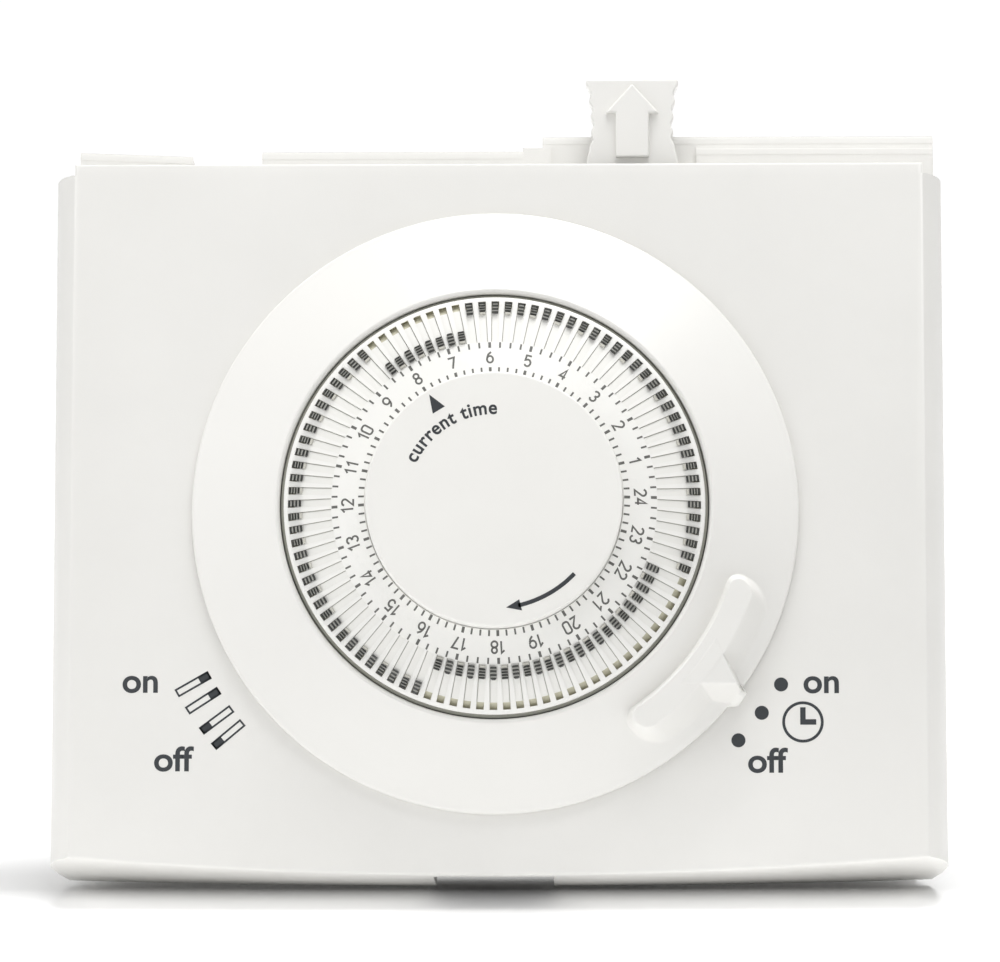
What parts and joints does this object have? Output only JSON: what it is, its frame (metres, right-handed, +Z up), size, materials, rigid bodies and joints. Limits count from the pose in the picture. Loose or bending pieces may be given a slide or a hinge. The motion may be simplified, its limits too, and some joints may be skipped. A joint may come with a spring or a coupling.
{
  "type": "programmable timer",
  "caption": "Plug-in mechanical heating timer with a 24-hour tappet dial, an on, timed and off mode ring, and a sliding release latch above a flat front plate.",
  "frame": {"origin": "middle of the underside, on the surface that the timer stands on", "axes": "+X to the right seen from the front, +Y to the back, +Z up"},
  "size_m": [0.1194, 0.0456, 0.108],
  "materials": {
    "case_white": "fine matte texture",
    "ring_white": "satin gloss",
    "dial_white": "satin, printed scale",
    "disc_white": "smooth matte",
    "tappet": "black, ridged tips",
    "chassis_grey": "moulded",
    "acetal": "natural",
    "brass": "plain",
    "dark_plastic": "moulded",
    "steel": "zinc plated"
  },
  "bodies": {
    "case": {"front_cover": "case_white", "rear_cover": "case_white", "chassis_plate": "chassis_grey", "centre_disc": "disc_white", "centre_post": "steel", "post_clip": "steel", "motor_body": "steel", "switch_body": "dark_plastic", "connector_body": "dark_plastic", "contact_1": "brass", "contact_2": "brass", "contact_3": "brass", "contact_4": "brass", "screw_1": "steel", "screw_2": "steel", "screw_3": "steel", "screw_4": "steel"},
    "dial": {"dial_ring": "dial_white", "dial_gear": "acetal", "tappet_bank_day": "tappet", "tappet_bank_night": "tappet"},
    "mode": {"mode_ring": "ring_white"},
    "override": {"mode_slide": "acetal"},
    "latch": {"latch_slider": "case_white"},
    "lever": {"switch_lever": "steel"},
    "idler": {"idler_gear": "acetal"},
    "motor_rotor": {"motor_pinion": "brass"},
    "tappet_0630": {"tappet_0630": "tappet"},
    "tappet_0645": {"tappet_0645": "tappet"},
    "tappet_0700": {"tappet_0700": "tappet"},
    "tappet_0715": {"tappet_0715": "tappet"},
    "tappet_0730": {"tappet_0730": "tappet"},
    "tappet_0745": {"tappet_0745": "tappet"},
    "tappet_0800": {"tappet_0800": "tappet"},
    "tappet_0815": {"tappet_0815": "tappet"},
    "tappet_1630": {"tappet_1630": "tappet"},
    "tappet_1645": {"tappet_1645": "tappet"},
    "tappet_1700": {"tappet_1700": "tappet"},
    "tappet_1715": {"tappet_1715": "tappet"},
    "tappet_1730": {"tappet_1730": "tappet"},
    "tappet_1745": {"tappet_1745": "tappet"},
    "tappet_1800": {"tappet_1800": "tappet"},
    "tappet_1815": {"tappet_1815": "tappet"},
    "tappet_1830": {"tappet_1830": "tappet"},
    "tappet_1845": {"tappet_1845": "tappet"},
    "tappet_1900": {"tappet_1900": "tappet"},
    "tappet_1915": {"tappet_1915": "tappet"},
    "tappet_1930": {"tappet_1930": "tappet"},
    "tappet_1945": {"tappet_1945": "tappet"},
    "tappet_2000": {"tappet_2000": "tappet"},
    "tappet_2015": {"tappet_2015": "tappet"},
    "tappet_2030": {"tappet_2030": "tappet"},
    "tappet_2045": {"tappet_2045": "tappet"},
    "tappet_2100": {"tappet_2100": "tappet"},
    "tappet_2115": {"tappet_2115": "tappet"},
    "tappet_2130": {"tappet_2130": "tappet"},
    "tappet_2145": {"tappet_2145": "tappet"},
    "tappet_2200": {"tappet_2200": "tappet"},
    "tappet_2215": {"tappet_2215": "tappet"}
  },
  "joints": [
    {"name": "dial_turn", "type": "hinge", "parent": "case", "child": "dial", "pos_m": [-0.0004, -0.01015, 0.0483], "axis": [0, 1, 0], "continuous": true},
    {"name": "mode_turn", "type": "hinge", "parent": "case", "child": "mode", "pos_m": [-0.0004, -0.01015, 0.0483], "axis": [0, 1, 0], "range_deg": [-6, 6]},
    {"name": "override_slide", "type": "slide", "parent": "case", "child": "override", "axis": [1, 0, 0], "range_m": [-0.0035, 0.0035]},
    {"name": "latch_slide", "type": "slide", "parent": "case", "child": "latch", "axis": [0, 0, 1], "range_m": [-0.008, 0]},
    {"name": "lever_swing", "type": "hinge", "parent": "case", "child": "lever", "pos_m": [-0.0173, -0.01035, 0.06494], "axis": [-0.5195, 0, 0.8545], "range_deg": [0, 4.5], "stiffness_Nm_per_rad": 0.002, "springref_deg": -5.73},
    {"name": "idler_turn", "type": "hinge", "parent": "case", "child": "idler", "pos_m": [-0.01567, -0.01015, 0.03303], "axis": [0, 1, 0], "continuous": true},
    {"name": "motor_turn", "type": "hinge", "parent": "case", "child": "motor_rotor", "pos_m": [-0.03045, -0.01015, 0.03042], "axis": [0, 1, 0], "continuous": true},
    {"name": "tappet_0630_slide", "type": "slide", "parent": "dial", "child": "tappet_0630", "axis": [-0.1817, 0.3048, 0.9349], "range_m": [0, 0.00394]},
    {"name": "tappet_0645_slide", "type": "slide", "parent": "dial", "child": "tappet_0645", "axis": [-0.2424, 0.3048, 0.9211], "range_m": [0, 0.00394]},
    {"name": "tappet_0700_slide", "type": "slide", "parent": "dial", "child": "tappet_0700", "axis": [-0.3021, 0.3048, 0.9032], "range_m": [0, 0.00394]},
    {"name": "tappet_0715_slide", "type": "slide", "parent": "dial", "child": "tappet_0715", "axis": [-0.3606, 0.3048, 0.8815], "range_m": [0, 0.00394]},
    {"name": "tappet_0730_slide", "type": "slide", "parent": "dial", "child": "tappet_0730", "axis": [-0.4174, 0.3048, 0.8561], "range_m": [0, 0.00394]},
    {"name": "tappet_0745_slide", "type": "slide", "parent": "dial", "child": "tappet_0745", "axis": [-0.4725, 0.3048, 0.8269], "range_m": [0, 0.00394]},
    {"name": "tappet_0800_slide", "type": "slide", "parent": "dial", "child": "tappet_0800", "axis": [-0.5256, 0.3048, 0.7943], "range_m": [0, 0.00394]},
    {"name": "tappet_0815_slide", "type": "slide", "parent": "dial", "child": "tappet_0815", "axis": [-0.5764, 0.3048, 0.7582], "range_m": [0, 0.00394]},
    {"name": "tappet_1630_slide", "type": "slide", "parent": "dial", "child": "tappet_1630", "axis": [-0.3102, 0.3048, -0.9005], "range_m": [0, 0.00394]},
    {"name": "tappet_1645_slide", "type": "slide", "parent": "dial", "child": "tappet_1645", "axis": [-0.2506, 0.3048, -0.9189], "range_m": [0, 0.00394]},
    {"name": "tappet_1700_slide", "type": "slide", "parent": "dial", "child": "tappet_1700", "axis": [-0.19, 0.3048, -0.9333], "range_m": [0, 0.00394]},
    {"name": "tappet_1715_slide", "type": "slide", "parent": "dial", "child": "tappet_1715", "axis": [-0.1285, 0.3048, -0.9437], "range_m": [0, 0.00394]},
    {"name": "tappet_1730_slide", "type": "slide", "parent": "dial", "child": "tappet_1730", "axis": [-0.0665, 0.3048, -0.9501], "range_m": [0, 0.00394]},
    {"name": "tappet_1745_slide", "type": "slide", "parent": "dial", "child": "tappet_1745", "axis": [-0.0042, 0.3048, -0.9524], "range_m": [0, 0.00394]},
    {"name": "tappet_1800_slide", "type": "slide", "parent": "dial", "child": "tappet_1800", "axis": [0.0581, 0.3048, -0.9507], "range_m": [0, 0.00394]},
    {"name": "tappet_1815_slide", "type": "slide", "parent": "dial", "child": "tappet_1815", "axis": [0.1201, 0.3048, -0.9448], "range_m": [0, 0.00394]},
    {"name": "tappet_1830_slide", "type": "slide", "parent": "dial", "child": "tappet_1830", "axis": [0.1817, 0.3048, -0.9349], "range_m": [0, 0.00394]},
    {"name": "tappet_1845_slide", "type": "slide", "parent": "dial", "child": "tappet_1845", "axis": [0.2424, 0.3048, -0.9211], "range_m": [0, 0.00394]},
    {"name": "tappet_1900_slide", "type": "slide", "parent": "dial", "child": "tappet_1900", "axis": [0.3021, 0.3048, -0.9032], "range_m": [0, 0.00394]},
    {"name": "tappet_1915_slide", "type": "slide", "parent": "dial", "child": "tappet_1915", "axis": [0.3606, 0.3048, -0.8815], "range_m": [0, 0.00394]},
    {"name": "tappet_1930_slide", "type": "slide", "parent": "dial", "child": "tappet_1930", "axis": [0.4174, 0.3048, -0.8561], "range_m": [0, 0.00394]},
    {"name": "tappet_1945_slide", "type": "slide", "parent": "dial", "child": "tappet_1945", "axis": [0.4725, 0.3048, -0.8269], "range_m": [0, 0.00394]},
    {"name": "tappet_2000_slide", "type": "slide", "parent": "dial", "child": "tappet_2000", "axis": [0.5256, 0.3048, -0.7943], "range_m": [0, 0.00394]},
    {"name": "tappet_2015_slide", "type": "slide", "parent": "dial", "child": "tappet_2015", "axis": [0.5764, 0.3048, -0.7582], "range_m": [0, 0.00394]},
    {"name": "tappet_2030_slide", "type": "slide", "parent": "dial", "child": "tappet_2030", "axis": [0.6248, 0.3048, -0.7189], "range_m": [0, 0.00394]},
    {"name": "tappet_2045_slide", "type": "slide", "parent": "dial", "child": "tappet_2045", "axis": [0.6705, 0.3048, -0.6765], "range_m": [0, 0.00394]},
    {"name": "tappet_2100_slide", "type": "slide", "parent": "dial", "child": "tappet_2100", "axis": [0.7133, 0.3048, -0.6312], "range_m": [0, 0.00394]},
    {"name": "tappet_2115_slide", "type": "slide", "parent": "dial", "child": "tappet_2115", "axis": [0.753, 0.3048, -0.5832], "range_m": [0, 0.00394]},
    {"name": "tappet_2130_slide", "type": "slide", "parent": "dial", "child": "tappet_2130", "axis": [0.7895, 0.3048, -0.5327], "range_m": [0, 0.00394]},
    {"name": "tappet_2145_slide", "type": "slide", "parent": "dial", "child": "tappet_2145", "axis": [0.8227, 0.3048, -0.4799], "range_m": [0, 0.00394]},
    {"name": "tappet_2200_slide", "type": "slide", "parent": "dial", "child": "tappet_2200", "axis": [0.8523, 0.3048, -0.425], "range_m": [0, 0.00394]},
    {"name": "tappet_2215_slide", "type": "slide", "parent": "dial", "child": "tappet_2215", "axis": [0.8783, 0.3048, -0.3684], "range_m": [0, 0.00394]}
  ],
  "couplings": [
    {"joint": "override_slide", "follows": "mode_turn", "m_per_rad": -0.0328},
    {"joint": "idler_turn", "follows": "dial_turn", "ratio": -5},
    {"joint": "motor_turn", "follows": "dial_turn", "ratio": 20}
  ]
}
